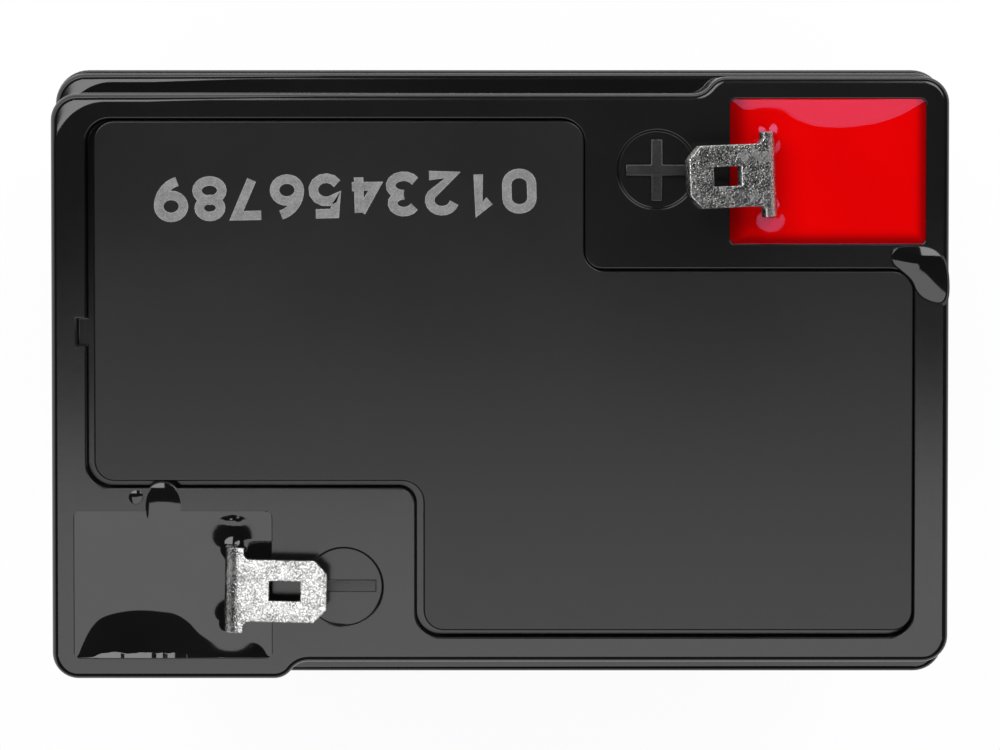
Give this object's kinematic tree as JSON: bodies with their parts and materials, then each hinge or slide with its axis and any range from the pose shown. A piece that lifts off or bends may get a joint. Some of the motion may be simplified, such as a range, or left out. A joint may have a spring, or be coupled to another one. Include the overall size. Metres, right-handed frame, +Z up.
{
  "type": "sealed lead acid battery",
  "caption": "Small sealed lead acid block with a stepped lid, Z-shaped vent cover and two resin-potted push-on tabs at opposite corners.",
  "frame": {"origin": "centre of the base, on the plane that the battery stands on", "axes": "+Z up to the terminals; +X along the long side and +Y along the short side, both towards the corner of the positive terminal"},
  "size_m": [0.07, 0.0474, 0.1076],
  "materials": {
    "case_plastic": "moulded, glossy",
    "lid_plastic": "moulded, satin",
    "tinned_tab": "tin-plated brass strip",
    "red_resin": "cast, glossy",
    "black_resin": "cast, glossy",
    "valve_rubber": "matt",
    "seal_rubber": "matt",
    "lead": "as cast",
    "positive_paste": "porous, brown",
    "negative_paste": "porous, grey",
    "glass_mat": "soft glass fibre mat"
  },
  "bodies": {
    "root": {"container": "case_plastic", "lid": "lid_plastic", "vent_cover": "lid_plastic", "vent_cap_1": "valve_rubber", "vent_cap_2": "valve_rubber", "vent_cap_3": "valve_rubber", "positive_terminal": "tinned_tab", "negative_terminal": "tinned_tab", "positive_potting": "red_resin", "negative_potting": "black_resin", "positive_post_seal": "seal_rubber", "negative_post_seal": "seal_rubber", "positive_end_strap": "lead", "negative_end_strap": "lead", "cell_link_1_2": "lead", "cell_link_2_3": "lead", "cell_1_positive_plate_1": "positive_paste", "cell_1_separator_1": "glass_mat", "cell_1_positive_plate_2": "positive_paste", "cell_1_separator_2": "glass_mat", "cell_1_positive_plate_3": "positive_paste", "cell_1_separator_3": "glass_mat", "cell_1_negative_plate_1": "negative_paste", "cell_1_negative_plate_2": "negative_paste", "cell_1_negative_plate_3": "negative_paste", "cell_1_negative_plate_4": "negative_paste", "cell_2_positive_plate_1": "positive_paste", "cell_2_separator_1": "glass_mat", "cell_2_positive_plate_2": "positive_paste", "cell_2_separator_2": "glass_mat", "cell_2_positive_plate_3": "positive_paste", "cell_2_separator_3": "glass_mat", "cell_2_negative_plate_1": "negative_paste", "cell_2_negative_plate_2": "negative_paste", "cell_2_negative_plate_3": "negative_paste", "cell_2_negative_plate_4": "negative_paste", "cell_3_positive_plate_1": "positive_paste", "cell_3_separator_1": "glass_mat", "cell_3_positive_plate_2": "positive_paste", "cell_3_separator_2": "glass_mat", "cell_3_positive_plate_3": "positive_paste", "cell_3_separator_3": "glass_mat", "cell_3_negative_plate_1": "negative_paste", "cell_3_negative_plate_2": "negative_paste", "cell_3_negative_plate_3": "negative_paste", "cell_3_negative_plate_4": "negative_paste"}
  },
  "joints": []
}
